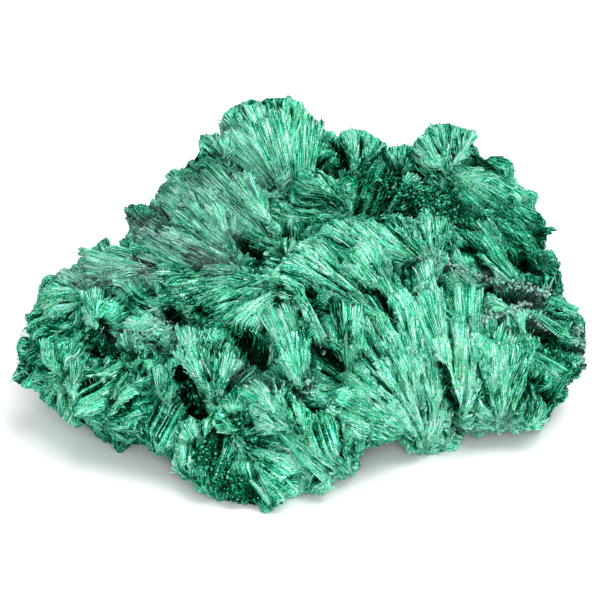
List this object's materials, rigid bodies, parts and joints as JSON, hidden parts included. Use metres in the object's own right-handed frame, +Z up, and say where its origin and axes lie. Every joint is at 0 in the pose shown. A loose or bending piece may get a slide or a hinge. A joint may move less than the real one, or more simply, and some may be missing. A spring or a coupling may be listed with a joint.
{
  "type": "velvet malachite specimen",
  "caption": "Natural lump of velvet malachite: a low rugged mass grown over with fans of silky green crystal fibres, resting on its worn underside.",
  "frame": {"origin": "under the middle of the specimen's box, on the plane that it rests on", "axes": "+Z up, +X along its longest side, the big low spray and the front lobe towards -Y, the peak towards +Y"},
  "size_m": [0.0848, 0.0678, 0.04],
  "materials": {
    "malachite": "silky velvet of fine parallel fibres, bright mint where it faces the light and nearly black in the gaps"
  },
  "bodies": {
    "root": {"specimen": "malachite"}
  },
  "joints": []
}
